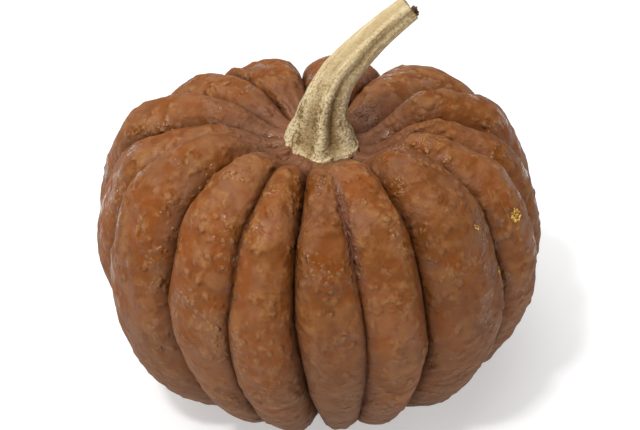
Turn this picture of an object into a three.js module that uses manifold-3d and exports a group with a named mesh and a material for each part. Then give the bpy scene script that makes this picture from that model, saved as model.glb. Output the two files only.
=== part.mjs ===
// A round, ribbed winter squash, picked with its dry corky stem. Millimetres, +Z up, standing on its
// underside with the origin on the floor below the middle of its outline. Azimuths are in degrees,
// 0 at the front (-Y) and growing towards +X, which is counter-clockwise seen from above.

import Module from "manifold-3d";
import * as THREE from "three";
import { mergeVertices } from "three/addons/utils/BufferGeometryUtils.js";

// The fruit's crown line, which is its profile along the top of a lobe
const FRUIT_RADIUS = 95;
const SEAT_RADIUS = 20; // the flat under the stem's foot, at the bottom of the dimple
const SEAT_HEIGHT = 109;
const CREST_RADIUS = 43; // where the lobes stand highest
const CREST_HEIGHT = 123;
const BROW_RADIUS = 64;
const BROW_HEIGHT = 120;
const SHOULDER_HEIGHT = 106;
const WAIST_HEIGHT = 64;
const HIP_HEIGHT = 22;
const REST_RADIUS = 50; // the ring of lobes that it stands on
const FLAT_DEPTH = 1.6; // how much of each resting lobe the floor has flattened
const BLOSSOM_RADIUS = 22; // the shallow hollow underneath, round the blossom scar
const BLOSSOM_HEIGHT = 4;

// Each lobe starts at the furrow on its left, seen from outside. furrow is that furrow's depth, girth
// scales the lobe outwards, rise lifts its upper half, and hip fills out its lower half. A furrow takes
// the mean of its two lobes.
const LOBES = [
  { from: -7, furrow: 12, girth: 0.98, rise: 1, hip: -2 },
  { from: 10, furrow: 5, girth: 0.98, rise: 2, hip: 0 },
  { from: 28, furrow: 10, girth: 1.01, rise: 2, hip: 0 },
  { from: 54, furrow: 9, girth: 1.01, rise: -2, hip: 0 },
  { from: 74, furrow: 9, girth: 0.98, rise: -5, hip: 2 },
  { from: 92, furrow: 8, girth: 1.0, rise: -2, hip: -1 },
  { from: 116, furrow: 10, girth: 1.05, rise: -12, hip: 0 },
  { from: 155, furrow: 10, girth: 0.99, rise: -11, hip: 0 },
  { from: 184, furrow: 10, girth: 0.97, rise: -8, hip: 0 },
  { from: 206, furrow: 4, girth: 0.97, rise: -9, hip: 0 },
  { from: 211, furrow: 8, girth: 1.0, rise: -7, hip: 0 },
  { from: 235, furrow: 8, girth: 1.05, rise: -4, hip: 0 },
  { from: 262, furrow: 8, girth: 1.0, rise: -5, hip: 0 },
  { from: 285, furrow: 9, girth: 1.0, rise: 4, hip: 4 },
  { from: 313, furrow: 10, girth: 0.98, rise: 4, hip: 3 },
  { from: 335, furrow: 5, girth: 0.98, rise: 1, hip: 1 },
];
const HIP_SHARE = 0.68; // of the way down the crown line, with the spread of the filling about it
const HIP_SPREAD = 0.13;
const LOBE_ARC = 86; // how far round its own arc a lobe turns before it meets its neighbour
const COLUMNS_PER_LOBE = 6;
const FRUIT_ROWS = 27;

// The stem's line from the seat up, leaning right and a little back, and its radius at the shares of
// its length
const STEM_LINE = [
  [2.6, 0.5, 0],
  [3, 0.2, 6],
  [4.2, 1, 14],
  [6.9, 2.7, 21],
  [12.3, 5.7, 29],
  [24.6, 10.6, 40],
  [41, 17, 50.5],
];
const STEM_RADII = [
  [0, 14.6],
  [0.04, 14],
  [0.1, 12],
  [0.18, 10.2],
  [0.3, 8.7],
  [0.42, 7.7],
  [0.6, 6.7],
  [0.8, 6],
  [1, 5.3],
];
const STEM_RIDGES = 5;
const FURROW_TURN = THREE.MathUtils.degToRad(-62); // of the furrow at the front right, from +X
const RIDGE_HEIGHT = 0.07; // as a share of the stem's radius
const STEM_SIDES = 30;
const STEM_RINGS = 16;
const STEM_GAP = 0.3;

const skin = new THREE.MeshStandardMaterial({ color: 0x8a5433, roughness: 0.5, metalness: 0 });
const cork = new THREE.MeshStandardMaterial({ color: 0xb89a70, roughness: 0.85, metalness: 0 });

// A closed body through rings of points listed from the top down, each counter-clockwise from above
function loft(rings, topPole, bottomPole) {
  const sides = rings[0].length;
  const points = [topPole, ...rings.flat(), bottomPole];
  const bottom = points.length - 1;
  const faces = [];
  for (let j = 0; j < sides; j += 1) {
    const next = (j + 1) % sides;
    faces.push(0, 1 + j, 1 + next);
    for (let i = 0; i < rings.length - 1; i += 1) {
      const upper = 1 + i * sides;
      const lower = upper + sides;
      faces.push(upper + j, lower + j, lower + next);
      faces.push(upper + j, lower + next, upper + next);
    }
    faces.push(bottom, bottom - sides + next, bottom - sides + j);
  }
  const geometry = new THREE.BufferGeometry().setFromPoints(points);
  geometry.setIndex(faces);
  return geometry;
}

// 0 at the start, 1 once x has passed the width
function ramp(x, width) {
  return THREE.MathUtils.clamp(x / width, 0, 1);
}

// The crown line's points with their outward normals and their share of the way from top to bottom
function crownLine() {
  const outline = new THREE.SplineCurve([
    new THREE.Vector2(0, SEAT_HEIGHT),
    new THREE.Vector2(SEAT_RADIUS, SEAT_HEIGHT),
    new THREE.Vector2(CREST_RADIUS, CREST_HEIGHT),
    new THREE.Vector2(BROW_RADIUS, BROW_HEIGHT),
    new THREE.Vector2(0.88 * FRUIT_RADIUS, SHOULDER_HEIGHT),
    new THREE.Vector2(FRUIT_RADIUS, WAIST_HEIGHT),
    new THREE.Vector2(0.85 * FRUIT_RADIUS, HIP_HEIGHT),
    new THREE.Vector2(REST_RADIUS, -FLAT_DEPTH),
    new THREE.Vector2(BLOSSOM_RADIUS, 0.5 * BLOSSOM_HEIGHT),
    new THREE.Vector2(0, BLOSSOM_HEIGHT),
  ]);
  const line = [];
  for (let i = 0; i <= FRUIT_ROWS; i += 1) {
    const share = i / FRUIT_ROWS;
    const tangent = outline.getTangentAt(share);
    line.push({ share, at: outline.getPointAt(share), normal: new THREE.Vector2(-tangent.y, tangent.x) });
  }
  return line;
}

// A lobe is an arc between two furrows: side runs from -1 at its left furrow to 1 at its right one
function lobePoint(line, lobes, k, side) {
  const lobe = lobes[k];
  const next = lobes[(k + 1) % lobes.length];
  const neighbour = side < 0 ? lobes.at(k - 1) : next;
  const arc = THREE.MathUtils.degToRad(LOBE_ARC);
  const across = Math.sin(side * arc) / Math.sin(arc);
  const drop = (1 - Math.cos(side * arc)) / (1 - Math.cos(arc));
  const end = next.from > lobe.from ? next.from : next.from + 360;
  const half = (end - lobe.from) / 2;
  const azimuth = THREE.MathUtils.degToRad(lobe.from + half * (1 + across));

  const { share, at, normal } = line;
  const fade = ramp(share, 0.16) ** 1.2 * ramp(1 - share, 0.22) ** 0.8;
  const furrow = (side < 0 ? lobe.furrow : next.furrow) * drop * fade;
  const onTop = ramp(0.5 - share, 0.25) * ramp(at.x - SEAT_RADIUS, CREST_RADIUS - SEAT_RADIUS);
  const mixed = (key) => THREE.MathUtils.lerp(lobe[key], neighbour[key], side ** 2 / 2);
  const lift = mixed("rise") * onTop;
  const hip = mixed("hip") * Math.exp(-(((share - HIP_SHARE) / HIP_SPREAD) ** 2));
  const radius = at.x * (1 + (mixed("girth") - 1) * fade) + hip - normal.x * furrow;
  const height = at.y - normal.y * furrow + lift;
  return new THREE.Vector3(radius * Math.sin(azimuth), -radius * Math.cos(azimuth), height);
}

function fruitGeometry() {
  const crown = crownLine();
  const rings = crown.slice(1, -1).map((line) => {
    const ring = [];
    LOBES.forEach((lobe, k) => {
      for (let j = 0; j < COLUMNS_PER_LOBE; j += 1) {
        ring.push(lobePoint(line, LOBES, k, (2 * j) / COLUMNS_PER_LOBE - 1));
      }
    });
    return ring;
  });
  const topPole = new THREE.Vector3(0, 0, SEAT_HEIGHT);
  const bottomPole = new THREE.Vector3(0, 0, BLOSSOM_HEIGHT);
  return loft(rings, topPole, bottomPole);
}

function stemRadius(share) {
  const i = Math.max(1, STEM_RADII.findIndex(([end]) => share <= end));
  const [start, wide] = STEM_RADII[i - 1];
  const [end, narrow] = STEM_RADII[i];
  return THREE.MathUtils.lerp(wide, narrow, (share - start) / (end - start));
}

// The stem is swept along its line with blunt lengthwise ridges, and both ends are flat
function stemGeometry() {
  const foot = SEAT_HEIGHT + STEM_GAP;
  const line = new THREE.CatmullRomCurve3(STEM_LINE.map(([x, y, z]) => new THREE.Vector3(x, y, z + foot)));
  const rings = [];
  for (let i = STEM_RINGS; i >= 0; i -= 1) {
    const share = i / STEM_RINGS;
    const centre = line.getPointAt(share);
    const along = i === 0 ? new THREE.Vector3(0, 0, 1) : line.getTangentAt(share);
    const back = new THREE.Vector3().crossVectors(along, new THREE.Vector3(1, 0, 0)).normalize();
    const right = new THREE.Vector3().crossVectors(back, along);
    const ring = [];
    for (let j = 0; j < STEM_SIDES; j += 1) {
      const turn = (2 * Math.PI * j) / STEM_SIDES;
      const radius = stemRadius(share) * (1 - RIDGE_HEIGHT * Math.cos(STEM_RIDGES * (turn - FURROW_TURN)));
      ring.push(
        centre
          .clone()
          .addScaledVector(right, radius * Math.cos(turn))
          .addScaledVector(back, radius * Math.sin(turn)),
      );
    }
    rings.push(ring);
  }
  return loft(rings, line.getPointAt(1), line.getPointAt(0));
}

const wasm = await Module();
wasm.setup();

function toSolid(geometry) {
  const bare = new THREE.BufferGeometry();
  bare.setAttribute("position", geometry.getAttribute("position"));
  bare.setIndex(geometry.getIndex());
  const merged = mergeVertices(bare);
  const mesh = new wasm.Mesh({
    numProp: 3,
    vertProperties: merged.getAttribute("position").array,
    triVerts: new Uint32Array(merged.getIndex().array),
  });
  return new wasm.Manifold(mesh);
}

function toGeometry(solid) {
  const mesh = solid.getMesh();
  const geometry = new THREE.BufferGeometry();
  geometry.setAttribute("position", new THREE.BufferAttribute(mesh.vertProperties, 3));
  geometry.setIndex(new THREE.BufferAttribute(mesh.triVerts, 1));
  geometry.computeVertexNormals();
  return geometry;
}

// The floor takes a thin slice off every lobe that it holds up, which leaves a flat patch on each
function restOnFloor(geometry) {
  const width = 4 * FRUIT_RADIUS;
  const floor = new THREE.BoxGeometry(width, width, width).translate(0, 0, -width / 2);
  return toGeometry(toSolid(geometry).subtract(toSolid(floor)));
}

const fruit = new THREE.Mesh(restOnFloor(fruitGeometry()), skin);
fruit.name = "fruit";

const stem = new THREE.Mesh(toGeometry(toSolid(stemGeometry())), cork);
stem.name = "stem";

const squash = new THREE.Group();
squash.add(fruit, stem);

// The lobes are unequal, so the stem's axis is a little off the middle of the outline
const outline = new THREE.Box3().setFromObject(squash);
const middle = outline.getCenter(new THREE.Vector3());
squash.position.set(-middle.x, -middle.y, 0);

export default squash;
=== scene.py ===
# %% [markdown]
# # A ribbed winter squash
# A picked squash is two things: the swollen fruit, with deep furrows between its lobes, and the dry corky
# stem that it hung from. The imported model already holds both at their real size, so every place here is
# read from it. This lesson gives them their surface: lobes, lumps, warts and wrinkles as real geometry, and
# skin, bloom and cork as materials.

import math

import bpy
import numpy as np
from mathutils import Matrix, Vector


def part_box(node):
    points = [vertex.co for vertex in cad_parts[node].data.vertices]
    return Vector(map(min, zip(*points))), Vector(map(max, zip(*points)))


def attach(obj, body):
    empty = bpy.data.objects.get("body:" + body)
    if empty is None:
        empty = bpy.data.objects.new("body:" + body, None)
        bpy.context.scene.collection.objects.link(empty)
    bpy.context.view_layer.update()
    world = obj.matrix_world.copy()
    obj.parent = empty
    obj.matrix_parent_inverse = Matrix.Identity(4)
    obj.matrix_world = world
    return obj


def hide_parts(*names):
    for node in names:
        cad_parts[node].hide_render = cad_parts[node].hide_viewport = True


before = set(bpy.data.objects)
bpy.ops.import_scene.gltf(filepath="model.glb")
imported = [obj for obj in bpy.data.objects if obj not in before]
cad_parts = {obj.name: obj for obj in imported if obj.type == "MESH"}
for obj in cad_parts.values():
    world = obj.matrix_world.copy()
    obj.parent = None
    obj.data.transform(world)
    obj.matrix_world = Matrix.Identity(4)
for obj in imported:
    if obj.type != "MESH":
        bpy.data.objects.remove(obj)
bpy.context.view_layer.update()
fruit_low, fruit_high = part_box("fruit")
stem_low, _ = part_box("stem")
MM = 0.001
fruit_size = fruit_high - fruit_low
print("the fruit is", [round(v / MM, 1) for v in fruit_size], "mm wide, deep and high")

# %% [markdown]
# ## The axis
# The lobes are unequal, so the stem isn't in the middle of the outline, and its foot spreads a little to
# one side of the point where the furrows meet. That point is the axis that everything is built round, so
# it's found from the middle of the stem's lowest ring. The seat is the flat at the bottom of the dimple, a
# hair below that ring.

# %% Where the axis stands
FOOT_OFFSET = Vector((2.6 * MM, 0.5 * MM, 0))
RING_SLICE = 0.1 * MM
STEM_GAP = 0.3 * MM
stem_points = np.array([v.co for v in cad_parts["stem"].data.vertices])
foot_ring = stem_points[stem_points[:, 2] < stem_low.z + RING_SLICE]
foot = Vector((foot_ring.min(0) + foot_ring.max(0)) / 2)
axis = Vector((foot.x, foot.y, 0)) - FOOT_OFFSET
seat = stem_low.z - STEM_GAP
print("the axis is at", [round(v / MM, 2) for v in axis])
print("the stem's seat is", round(seat / MM, 1), "mm up")

# %% [markdown]
# ## One helper for nodes
# Materials and Geometry Nodes are both made of nodes, so one small function adds any of them: it sets the
# node's options, and gives each input a value or a link. A node given as a value stands for the first of its
# outputs that is in use.

# %% Adding a node
def add(tree, kind, inputs=None, **options):
    """Adds a node. inputs maps an input's name or number to a value, a socket or another node."""
    node = tree.nodes.new(kind)
    for name, value in options.items():
        setattr(node, name, value)
    for key, value in (inputs or {}).items():
        if isinstance(key, str):
            socket = next(s for s in node.inputs if s.enabled and s.name == key)
        else:
            socket = node.inputs[key]
        if isinstance(value, bpy.types.Node):
            value = next(s for s in value.outputs if s.enabled)
        if isinstance(value, bpy.types.NodeSocket):
            tree.links.new(value, socket)
        else:
            socket.default_value = value
    return node


# %% [markdown]
# ## Colours and scales
# Colours are picked as sRGB hex values, as on a paint card, and the renderer works in linear light, so one
# function turns them over. A pattern's scale is how many of its cells fit in a metre.

# %% Colour and scale
def linear(code):
    """An sRGB hex value such as "8A5433" as linear red, green, blue and alpha."""
    parts = [int(code[i : i + 2], 16) / 255 for i in (0, 2, 4)]
    return [c / 12.92 if c <= 0.04045 else ((c + 0.055) / 1.055) ** 2.4 for c in parts] + [1.0]


def every(millimetres):
    """The scale of a pattern that repeats about every so many millimetres."""
    return 1 / (millimetres * MM)


print("mid grey is", round(linear("808080")[0], 3), "in linear light")
print("cells 5 mm wide have a scale of", round(every(5)))

# %% [markdown]
# ## Smooth lines
# A grown shape has no straight runs. A handful of chosen points is enough for its outline, if a smooth line
# is drawn through them. The Catmull-Rom rule does that: at each point it heads for the next but one.

# %% A line through points
def smooth_line(points, steps=24):
    """Points close together on a Catmull-Rom line through the given ones."""
    p = np.array(points, float)
    p = np.vstack([p[:1], p, p[-1:]])
    t = np.linspace(0, 1, steps, endpoint=False)[:, None]
    runs = [
        0.5 * (2 * b + (c - a) * t + (2 * a - 5 * b + 4 * c - d) * t**2 + (3 * b - a - 3 * c + d) * t**3)
        for a, b, c, d in zip(p, p[1:], p[2:], p[3:])
    ]
    return np.vstack(runs + [p[-1:]])


def curve_object(name, points):
    """A curve through points in metres, for a Geometry Nodes tree to sample."""
    data = bpy.data.curves.new(name, "CURVE")
    data.dimensions = "3D"
    spline = data.splines.new("POLY")
    spline.points.add(len(points) - 1)
    spline.points.foreach_set("co", np.c_[points, np.ones(len(points))].ravel())
    obj = bpy.data.objects.new(name, data)
    bpy.context.scene.collection.objects.link(obj)
    return obj


print("a smooth line through 3 points has", len(smooth_line([(0, 0), (1, 1), (2, 0)])), "points")

# %% [markdown]
# ## The crown line
# Cut a lobe down its middle and its edge is the crown line: out of the dimple at the stem, over the crest,
# round the waist, under to the ring that it stands on, and into the hollow at the blossom end. The points
# are the same as the construction's, as distance from the axis and height.

# %% The crown line
RADIUS = 95 * MM
crown_points = [
    (0, seat),
    (20 * MM, seat),
    (43 * MM, 123 * MM),
    (64 * MM, 120 * MM),
    (0.88 * RADIUS, 106 * MM),
    (RADIUS, 64 * MM),
    (0.85 * RADIUS, 22 * MM),
    (50 * MM, -1.6 * MM),
    (22 * MM, 2 * MM),
    (0, 4 * MM),
]
crown = curve_object("crown_line", smooth_line([(r, 0, z) for r, z in crown_points]))
print("crown line of", len(crown.data.splines[0].points), "points")

# %% [markdown]
# ## The lobes
# Sixteen lobes, each between two furrows. No two are alike: a furrow's azimuth is where it crosses the
# waist, and top and low say how many degrees it swings by the time it reaches the stem or the floor. deep
# is the furrow's depth in mm, and start the share of the way down where it begins, since some pairs of lobes
# are one at the top and part lower down. girth scales the lobe outwards, hip fills out its lower half and
# rise lifts its crest, both in mm. dusky is how much darker its skin is, and lumpy how much higher its lumps
# are. A furrow takes the mean of the two lobes beside it.

# %% The table of lobes
LOBE_KEYS = ("azimuth", "top", "low", "deep", "start", "girth", "hip", "rise", "dusky", "lumpy")
LOBE_ROWS = [
    (-8, 3, 6, 13, 0.05, 0.98, -2, 1, 0.3, 0),
    (10, -3, 0, 5, 0.17, 0.98, 0, 2, 0, 0),
    (27.6, 2, 0, 11, 0.03, 1.01, 0, 2, 0.3, 0.7),
    (54, 4, 0, 10, 0, 1.01, 0, -2, 0, 1.0),
    (74, 2, 0, 9, 0, 0.985, 2, -5, 0.2, 0.5),
    (92, 0, 0, 9, 0, 0.997, -1, -2, 0.1, 0),
    (116, 0, 0, 11, 0, 1.06, 0, -12, 0, 0),
    (155, 0, 0, 11, 0, 0.99, 0, -11, 0, 0),
    (184, 0, 0, 11, 0, 0.97, 0, -8, 0, 0),
    (206, 0, 0, 5, 0.22, 0.97, 0, -9, 0, 0),
    (211, 0, 0, 9, 0, 1.0, 0, -7, 0, 0),
    (235, 0, 0, 9, 0, 1.05, 0, -4, 0, 0),
    (262, 0, 0, 8, 0, 0.995, 0, -5, 0, 0),
    (285, 0, 0, 10, 0, 0.995, 4, 4, 0.1, 0),
    (313, 2, 19, 11, 0, 0.97, 2, 4, 0, 0.3),
    (334.4, 6, 6, 6, 0.08, 0.98, 1, 1, 0, 0),
]
LOBES = [dict(zip(LOBE_KEYS, row)) for row in LOBE_ROWS]
print(len(LOBES), "lobes, and the deepest furrow is", max(lobe["deep"] for lobe in LOBES), "mm deep")

# %% [markdown]
# ## The net
# The skin starts as a net of columns and rows, closed round the axis and drawn to a point at either end.
# The net itself has no shape yet. Each of its points only knows where it belongs: how far along the crown
# line, how far across its lobe, and what its lobe is like. The Geometry Nodes tree turns that into a place.

# %% Making a net
def make_net(name, columns, rows, facts):
    """A closed net. facts maps an attribute's name to its values, rows by columns."""
    ring = np.arange(columns)
    grid = 1 + (np.arange(1, rows - 1) - 1)[:, None] * columns + ring
    after = np.roll(grid, -1, axis=1)
    last = 1 + columns * (rows - 2)
    quads = np.stack([grid[:-1], grid[1:], after[1:], after[:-1]], -1).reshape(-1, 4)
    top = np.stack([np.zeros(columns, int), grid[0], after[0]], -1)
    bottom = np.stack([np.full(columns, last), after[-1], grid[-1]], -1)
    mesh = bpy.data.meshes.new(name)
    mesh.from_pydata(np.zeros((last + 1, 3)), [], [*top.tolist(), *quads.tolist(), *bottom.tolist()])
    for key, values in facts.items():
        attribute = mesh.attributes.new(key, "FLOAT", "POINT")
        flat = np.r_[values[0, 0], values[1:-1].ravel(), values[-1, 0]]
        attribute.data.foreach_set("value", flat.astype(np.float32))
    obj = bpy.data.objects.new(name, mesh)
    bpy.context.scene.collection.objects.link(obj)
    return obj


# %% [markdown]
# ## The furrows
# A furrow runs from the stem to the blossom end like a line of longitude, but a grown one swings to a side
# and wanders. The swing comes from the table, and the wander is three slow waves of random size. The random
# numbers have a fixed seed, so the squash is the same each time. A furrow is shallow where it starts, soon
# reaches its full depth, and fades out underneath.

# %% The furrows' lines and depths
COLUMNS, ROWS = 440, 214
SWING_AT = [0.05, 0.45, 0.9]
WANDER_SEED = 5
WANDER, WANDER_WAVES, WANDER_START = 0.5, 2.5, 0.2
DEEPENS_OVER, FADES_OVER = 0.16, 0.22
rng = np.random.default_rng(WANDER_SEED)
along = np.linspace(0, 1, ROWS)


def furrow_line(lobe):
    """A furrow's azimuth in degrees at each row: its swing, and the small wander of a grown thing."""
    swing = np.interp(along, SWING_AT, [lobe["top"], 0, lobe["low"]])
    wander = 0
    for n in (1, 2, 3):
        size = rng.normal(0, WANDER / n)
        wander = wander + size * np.sin(n * WANDER_WAVES * along * math.pi + rng.uniform(0, 7))
    return lobe["azimuth"] + swing + wander * np.clip(along / WANDER_START, 0, 1)


def furrow_depth(lobe):
    """A furrow's depth in metres at each row: from nothing at its start to full, and shallow again below."""
    begin = np.clip((along - lobe["start"]) / DEEPENS_OVER, 0, 1) ** 1.2
    return lobe["deep"] * MM * begin * np.clip((1 - along) / FADES_OVER, 0, 1) ** 0.8


lines = [furrow_line(lobe) for lobe in LOBES]
depths = [furrow_depth(lobe) for lobe in LOBES]
print("the first furrow goes from", round(lines[0][0], 1), "to", round(lines[0][-1], 1), "degrees")

# %% [markdown]
# ## What each point knows
# Each column of the net belongs to one lobe, and side says where on it, from -1 at the left furrow to 1 at
# the right. Near a furrow the two lobes' numbers mix, until in the furrow itself they are the mean of both.
# One furrow in front is different: it opens into a trough, a shallow dip beside it with a puckered floor.

# %% The columns of the fruit's net
TROUGH_FURROW = 1
TROUGH_WIDTH = 0.42
TROUGH_EDGE = 0.16
TROUGH_DEPTH = 1.4 * MM
HIP_PLACE, HIP_SPREAD = 0.68, 0.13
MIXED = ("girth", "hip", "rise", "dusky", "lumpy")
trough = np.interp(along, [0.19, 0.24, 0.33, 0.41], [0, 1, 1, 0])
hip_shape = np.exp(-(((along - HIP_PLACE) / HIP_SPREAD) ** 2))
columns = []
for k, lobe in enumerate(LOBES):
    right = (k + 1) % len(LOBES)
    whole_turn = 360 if right == 0 else 0
    line_right = lines[right] + whole_turn
    width = LOBES[right]["azimuth"] - lobe["azimuth"] + whole_turn
    for side in np.linspace(-1, 1, max(10, round(COLUMNS * width / 360)), endpoint=False):
        neighbour = LOBES[k - 1] if side < 0 else LOBES[right]
        share = 0.5 * side**2
        both = {key: lobe[key] * (1 - share) + neighbour[key] * share for key in MIXED}
        in_trough = TROUGH_FURROW == (k if side < 0 else right)
        near = np.clip((abs(side) - 1 + TROUGH_WIDTH) / TROUGH_EDGE, 0, 1) if in_trough else 0
        column = {
            "along": along,
            "side": side,
            "middle": np.radians(lines[k] + line_right) / 2,
            "half": np.radians(line_right - lines[k]) / 2,
            "depth": depths[k] if side < 0 else depths[right],
            "girth": both["girth"] + both["hip"] * MM / RADIUS * hip_shape,
            "rise": both["rise"] * MM,
            "dusky": both["dusky"],
            "lumpy": both["lumpy"],
            "trough": near * trough,
        }
        columns.append({key: np.broadcast_to(value, along.shape) for key, value in column.items()})
facts = {key: np.array([column[key] for column in columns]).T for key in columns[0]}
print(len(columns), "columns, and each point knows", ", ".join(facts))

# %% [markdown]
# ## Glossy clusters
# Here and there the skin stands up in a cluster of wet-looking beads. A noise scatters most of them, and the
# largest have places of their own, given as azimuth in degrees, share of the way down and width in mm.

# %% Where the large clusters are, and the net itself
LOBE_ARC = math.radians(86)
GIRTH_REACH, CROWN_LENGTH = 70 * MM, 250 * MM
GLINTS = [
    (-100, 0.25, 5),
    (-69, 0.3, 6),
    (-151, 0.105, 5),
    (31, 0.24, 5),
    (58, 0.24, 5),
    (94, 0.12, 5),
    (-19, 0.3, 6),
]
azimuth = np.degrees(facts["middle"] + facts["half"] * np.sin(facts["side"] * LOBE_ARC))
facts["glint"] = np.zeros(azimuth.shape)
for around, down, width in GLINTS:
    off = np.radians((azimuth - around + 180) % 360 - 180)
    off = np.hypot(off * GIRTH_REACH, (facts["along"] - down) * CROWN_LENGTH) / (width * MM)
    facts["glint"] = np.maximum(facts["glint"], np.clip(2 * (1 - off), 0, 1))
net = make_net("fruit_net", facts["along"].shape[1], ROWS, facts)
print("net of", len(net.data.vertices), "points and", len(net.data.polygons), "faces")

# %% [markdown]
# ## Running a tree
# Each tree declares its sizes as named inputs, so that a reader can turn them like knobs in the modifier
# panel. A modifier finds an input by its identifier. Once the tree has run, its result is copied to a plain
# mesh.

# %% Trees with named inputs
SOCKETS = {float: "NodeSocketFloat", int: "NodeSocketInt", tuple: "NodeSocketVector"}


def new_tree(name, inputs):
    """A Geometry Nodes tree with a geometry in and out, its input node, and its further named inputs."""
    tree = bpy.data.node_groups.new(name, "GeometryNodeTree")
    tree.interface.new_socket("Geometry", in_out="INPUT", socket_type="NodeSocketGeometry")
    tree.interface.new_socket("Geometry", in_out="OUTPUT", socket_type="NodeSocketGeometry")
    for key, value in inputs.items():
        kind = "NodeSocketObject" if isinstance(value, bpy.types.Object) else SOCKETS.get(type(value))
        kind = kind or "NodeSocketMaterial"
        tree.interface.new_socket(key, in_out="INPUT", socket_type=kind)
    return tree, add(tree, "NodeGroupInput")


def finish_tree(tree, geometry, material):
    """Every tree ends the same way: instances made real, and the material set."""
    real = add(tree, "GeometryNodeRealizeInstances", {"Geometry": geometry})
    dressed = add(tree, "GeometryNodeSetMaterial", {"Geometry": real, "Material": material})
    add(tree, "NodeGroupOutput", {"Geometry": dressed})


def run_tree(name, source, tree, inputs):
    """Runs the tree on the source object and returns its result as a plain mesh object."""
    modifier = source.modifiers.new("nodes", "NODES")
    modifier.node_group = tree
    for item in tree.interface.items_tree:
        if item.in_out == "INPUT" and item.name in inputs:
            modifier[item.identifier] = inputs[item.name]
    bpy.context.view_layer.update()
    result = bpy.data.meshes.new_from_object(source.evaluated_get(bpy.context.evaluated_depsgraph_get()))
    source.modifiers.remove(modifier)
    result.name = name
    obj = bpy.data.objects.new(name, result)
    bpy.context.scene.collection.objects.link(obj)
    bpy.data.objects.remove(source)
    triangles = sum(len(p.vertices) - 2 for p in result.polygons)
    print(name, "has", len(result.vertices), "points and", triangles, "triangles")
    return obj


# %% [markdown]
# ## Inflating the lobes
# A lobe is skin that swelled between two furrows that held it back, so across its width it is close to an
# arc of a circle, and the tree uses exactly that. side runs from -1 to 1, and times the lobe's arc it is an
# angle. Its sine says how far round the axis a point goes, and its cosine how far it drops from the crown
# line towards the furrow. An arc close to 90 degrees makes plump lobes with a sharp furrow between them.

# %% The fruit's sizes, and the arc of a lobe
SEAT_SLOPE = (-0.13, 0.06, 0.0)
fruit_inputs = {
    "Crown Line": crown,
    "Seat Slope": SEAT_SLOPE,
    "Lobe Arc": LOBE_ARC,
    "Trough Depth": TROUGH_DEPTH,
    "Swell Width": 24 * MM,
    "Swell Height": 2.4 * MM,
    "Lump Width": 9 * MM,
    "Lump Height": 1.5 * MM,
    "Wart Width": 5 * MM,
    "Wart Height": 0.7 * MM,
    "Wrinkle Height": 0.7 * MM,
    "Foot": tuple(foot),
    "Foot Radius": 16.2 * MM,
    "Collar Height": 0.9 * MM,
}


def across_lobe(tree, value, fact):
    """Each point's azimuth, its share of the way down from crest to furrow, and how deep that sinks it."""
    angle = add(tree, "ShaderNodeMath", {0: fact["side"], 1: value["Lobe Arc"]}, operation="MULTIPLY")
    sine = add(tree, "ShaderNodeMath", {0: angle}, operation="SINE")
    full_sine = add(tree, "ShaderNodeMath", {0: value["Lobe Arc"]}, operation="SINE")
    across = add(tree, "ShaderNodeMath", {0: sine, 1: full_sine}, operation="DIVIDE")
    inputs = {0: fact["half"], 1: across, 2: fact["middle"]}
    azimuth = add(tree, "ShaderNodeMath", inputs, operation="MULTIPLY_ADD")
    cosine = add(tree, "ShaderNodeMath", {0: angle}, operation="COSINE")
    full_cosine = add(tree, "ShaderNodeMath", {0: value["Lobe Arc"]}, operation="COSINE")
    drop = add(tree, "ShaderNodeMapRange", {"Value": cosine, "From Min": 1.0, "From Max": full_cosine})
    sunk = add(tree, "ShaderNodeMath", {0: fact["depth"], 1: drop}, operation="MULTIPLY")
    inputs = {0: fact["trough"], 1: value["Trough Depth"], 2: sunk}
    sunk = add(tree, "ShaderNodeMath", inputs, operation="MULTIPLY_ADD")
    return azimuth, drop, sunk


print("a lobe's arc spans", round(math.degrees(LOBE_ARC)), "degrees on either side of its crest")

# %% [markdown]
# ## Places on the lobes
# The share of the way along the crown line gives each point a place in a flat plane that holds the axis.
# There it sinks along the line's normal, is scaled outwards by its lobe's girth, and rises where its lobe
# stands high. Then it is turned round the axis to its own azimuth. Close to the stem the skin tilts as well,
# because the seat isn't level.

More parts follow.
